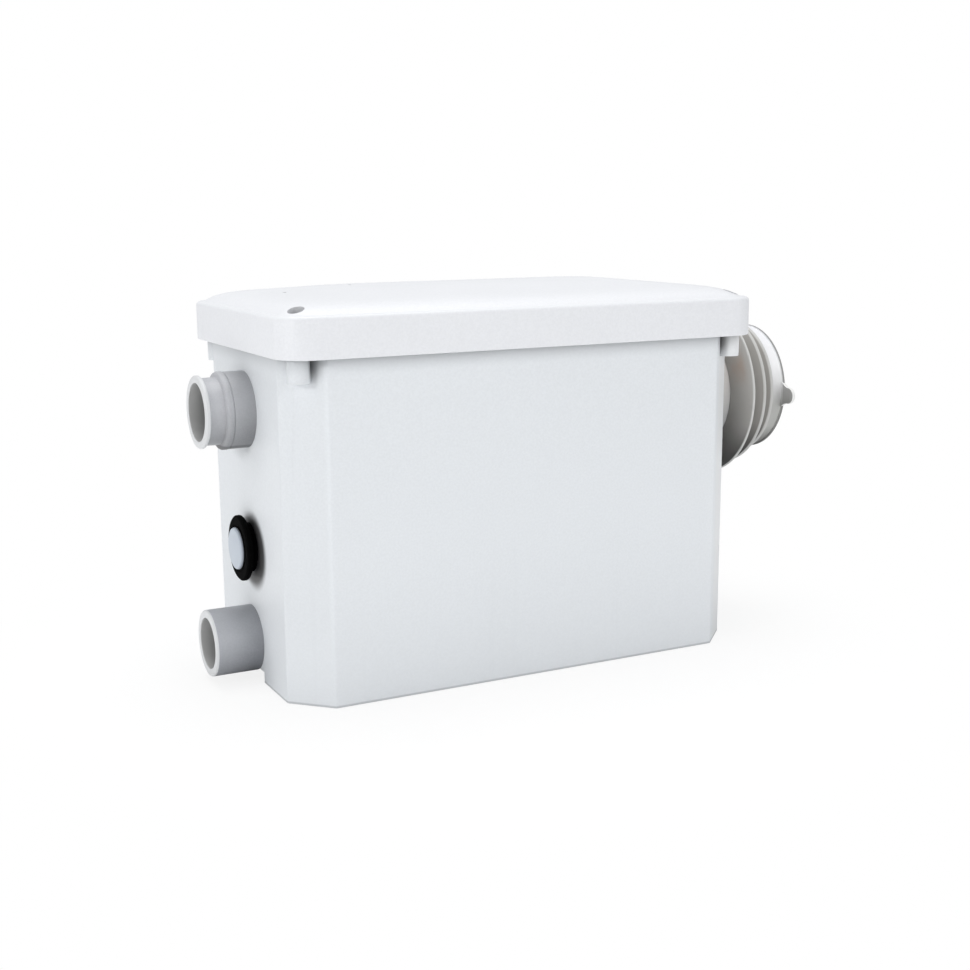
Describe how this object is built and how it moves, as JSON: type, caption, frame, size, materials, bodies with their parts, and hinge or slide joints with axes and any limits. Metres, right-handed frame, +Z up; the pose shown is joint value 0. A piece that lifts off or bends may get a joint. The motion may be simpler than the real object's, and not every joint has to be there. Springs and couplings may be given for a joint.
{
  "type": "sewage lifting station",
  "caption": "Slim macerator lifting station: tank with crowned lid, ribbed toilet connector, stepped discharge and waste inlet spigots, plugged inlet, pump inside.",
  "frame": {"origin": "on the floor, under the centre of the tank", "axes": "+Z up, +X towards the toilet connector, -Y towards the front"},
  "size_m": [0.4538, 0.213, 0.2684],
  "materials": {
    "tank": "smooth moulded white",
    "lid": "smooth moulded white",
    "lid_gasket": "matt",
    "steel_screws": "zinc plated",
    "spigot_grey": "satin moulded grey",
    "flap_rubber": "matt",
    "grommet_rubber": "matt",
    "plug_grey": "satin moulded grey",
    "bellows_rubber": "satin soft rubber",
    "inner_plastic": "moulded",
    "motor_cast": "cast",
    "motor_can": "painted steel can",
    "core_steel": "laminated steel",
    "winding": "enamelled copper wire",
    "shaft_steel": "ground",
    "hose_rubber": "matt",
    "switch_black": "moulded",
    "button_red": "moulded",
    "capacitor_can": "drawn",
    "vent_pad": "charcoal felt"
  },
  "bodies": {
    "station": {"tank": "tank", "terminal_cover": "lid", "lid_gasket": "lid_gasket", "discharge_seal": "lid_gasket", "shaft_seal": "lid_gasket", "level_diaphragm": "lid_gasket", "deck_screws": "steel_screws", "motor_screws": "steel_screws", "discharge_flap_pin": "steel_screws", "inlet_flap_pin": "steel_screws", "riser_clips": "steel_screws", "discharge_spigot": "spigot_grey", "inlet_spigot": "spigot_grey", "discharge_nut": "spigot_grey", "plug_grommet": "grommet_rubber", "wc_bellows": "bellows_rubber", "inlet_chute": "inner_plastic", "motor_deck": "inner_plastic", "pump_casing": "inner_plastic", "pump_cover": "inner_plastic", "sieve_basket": "inner_plastic", "pressure_tube": "inner_plastic", "switch_housing": "inner_plastic", "capacitor_saddle": "inner_plastic", "terminal_box": "inner_plastic", "motor_base": "motor_cast", "motor_housing": "motor_can", "stator_core": "core_steel", "stator_winding": "winding", "lower_bearing": "shaft_steel", "upper_bearing": "shaft_steel", "discharge_riser": "hose_rubber", "microswitch": "switch_black", "cable_gland": "switch_black", "gland_nut": "switch_black", "capacitor": "capacitor_can"},
    "rotor": {"motor_shaft": "shaft_steel", "rotor_core": "core_steel", "cutter_blade": "shaft_steel", "blade_nut": "steel_screws", "impeller": "inner_plastic"},
    "discharge_flap_body": {"discharge_flap": "flap_rubber"},
    "inlet_flap_body": {"inlet_flap": "flap_rubber"},
    "plug_body": {"inlet_plug": "plug_grey"},
    "lid_body": {"lid": "lid", "lid_screws": "steel_screws", "vent_cartridge": "inner_plastic", "vent_pad": "vent_pad"},
    "plunger_body": {"level_plunger": "inner_plastic"},
    "button_body": {"switch_button": "button_red"}
  },
  "joints": [
    {"name": "rotor_spin", "type": "hinge", "parent": "station", "child": "rotor", "pos_m": [0.06, 0, 0.1], "axis": [0, 0, 1], "continuous": true},
    {"name": "discharge_flap_swing", "type": "hinge", "parent": "station", "child": "discharge_flap_body", "pos_m": [-0.1717, 0, 0.2036], "axis": [0, 1, 0], "range_deg": [0, 60]},
    {"name": "inlet_flap_swing", "type": "hinge", "parent": "station", "child": "inlet_flap_body", "pos_m": [-0.1813, 0, 0.0411], "axis": [0, -1, 0], "range_deg": [0, 60]},
    {"name": "plug_pull", "type": "slide", "parent": "station", "child": "plug_body", "axis": [-1, 0, 0], "range_m": [0, 0.03]},
    {"name": "lid_lift", "type": "slide", "parent": "station", "child": "lid_body", "axis": [0, 0, 1], "range_m": [0, 0.06]},
    {"name": "plunger_rise", "type": "slide", "parent": "station", "child": "plunger_body", "axis": [0, 0, 1], "range_m": [0, 0.0012]},
    {"name": "button_press", "type": "slide", "parent": "station", "child": "button_body", "axis": [0, 0, 1], "range_m": [0, 0.0012]}
  ],
  "couplings": [
    {"joint": "button_press", "follows": "plunger_rise", "ratio": 1}
  ]
}
